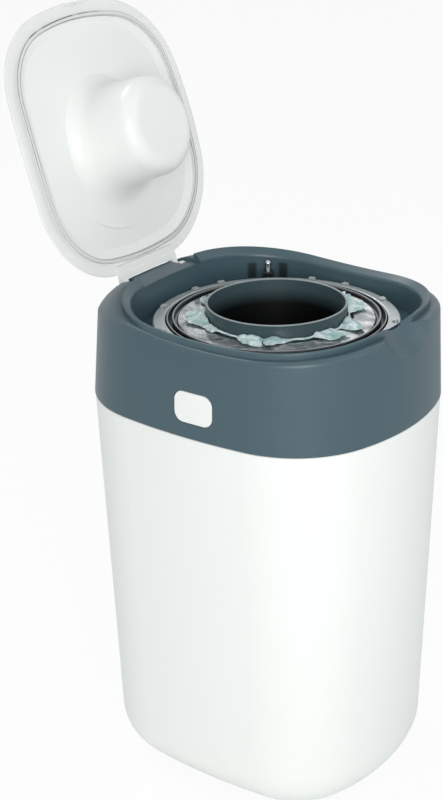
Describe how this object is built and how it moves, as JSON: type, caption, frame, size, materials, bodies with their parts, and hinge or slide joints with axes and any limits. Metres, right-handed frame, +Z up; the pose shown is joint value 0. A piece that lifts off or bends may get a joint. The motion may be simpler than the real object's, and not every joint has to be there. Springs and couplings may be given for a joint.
{
  "type": "nappy bin",
  "caption": "Tall rounded bin with a tilting head, an open hinged lid with a round plunger, a film cassette on a turntable and a round push-through collar.",
  "frame": {"origin": "on the floor under the middle of the body's outline", "axes": "+Z up, -Y towards the finger scoop at the front, +Y towards the hinges at the back, +X to the right seen from the front"},
  "size_m": [0.227, 0.3228, 0.6203],
  "materials": {
    "white_plastic": "satin moulded, faint texture",
    "slate_plastic": "fine matt texture",
    "silver_plastic": "satin with a slight metallic sheen",
    "glide_plastic": "smooth low-friction",
    "black_plastic": "semi-gloss",
    "grey_plastic": "satin",
    "marbled_plastic": "glossy, light and dark marbling",
    "collar_plastic": "satin",
    "panel_plastic": "smooth semi-gloss",
    "clear_plastic": "clear to milky, glossy",
    "seal_rubber": "matt, pale, with thin dark lips",
    "film": "thin crinkled film",
    "screw_steel": "zinc plated",
    "pin_steel": "plain drawn",
    "spring_steel": "plain wire",
    "peg_steel": "polished",
    "blade_steel": "ground"
  },
  "bodies": {
    "tub": {"tub_shell": "white_plastic", "rear_hinge_pins": "pin_steel"},
    "head": {"head_shell": "slate_plastic", "head_frame": "slate_plastic", "deck_ring": "silver_plastic", "deck_clips": "silver_plastic", "frame_screws": "screw_steel", "glide_ring": "glide_plastic", "lid_hinge_pins": "pin_steel", "film_cutter": "white_plastic", "cutter_blade": "blade_steel", "button_spring_left": "spring_steel", "button_spring_right": "spring_steel", "pawl_pin": "pin_steel", "pawl_spring": "spring_steel"},
    "lid": {"lid_shell": "clear_plastic", "lid_inner_panel": "panel_plastic", "lid_seal": "seal_rubber", "lid_hinge_leaf": "panel_plastic", "lid_catch": "panel_plastic"},
    "turntable": {"turntable": "black_plastic", "cassette_tub": "grey_plastic", "cassette_cover": "marbled_plastic", "film_pack": "film", "film_tufts": "film", "collar": "collar_plastic"},
    "left_button": {"button_left": "white_plastic", "latch_left": "grey_plastic"},
    "right_button": {"button_right": "white_plastic", "latch_right": "grey_plastic"},
    "pawl": {"click_pawl": "black_plastic", "pawl_peg": "peg_steel"}
  },
  "joints": [
    {"name": "head_tilt", "type": "hinge", "parent": "tub", "child": "head", "pos_m": [0, 0.1402, 0.332], "axis": [-1, 0, 0], "range_deg": [0, 90]},
    {"name": "lid_hinge", "type": "hinge", "parent": "head", "child": "lid", "pos_m": [0, 0.1075, 0.407], "axis": [1, 0, 0], "range_deg": [0, 109.3]},
    {"name": "turntable_spin", "type": "hinge", "parent": "head", "child": "turntable", "pos_m": [0, -0.01, 0.347], "axis": [0, 0, 1], "continuous": true},
    {"name": "left_button_press", "type": "slide", "parent": "head", "child": "left_button", "axis": [1, 0, 0], "range_m": [0, 0.004], "stiffness_N_per_m": 600, "springref_m": -0.004, "deforming": ["button_spring_left"]},
    {"name": "right_button_press", "type": "slide", "parent": "head", "child": "right_button", "axis": [-1, 0, 0], "range_m": [0, 0.004], "stiffness_N_per_m": 600, "springref_m": -0.004, "deforming": ["button_spring_right"]},
    {"name": "pawl_pivot", "type": "hinge", "parent": "head", "child": "pawl", "pos_m": [0.0988, 0.011, 0.378], "axis": [0, 0, -1], "range_deg": [0, 3.2], "stiffness_Nm_per_rad": 0.05, "springref_deg": -2.86}
  ]
}
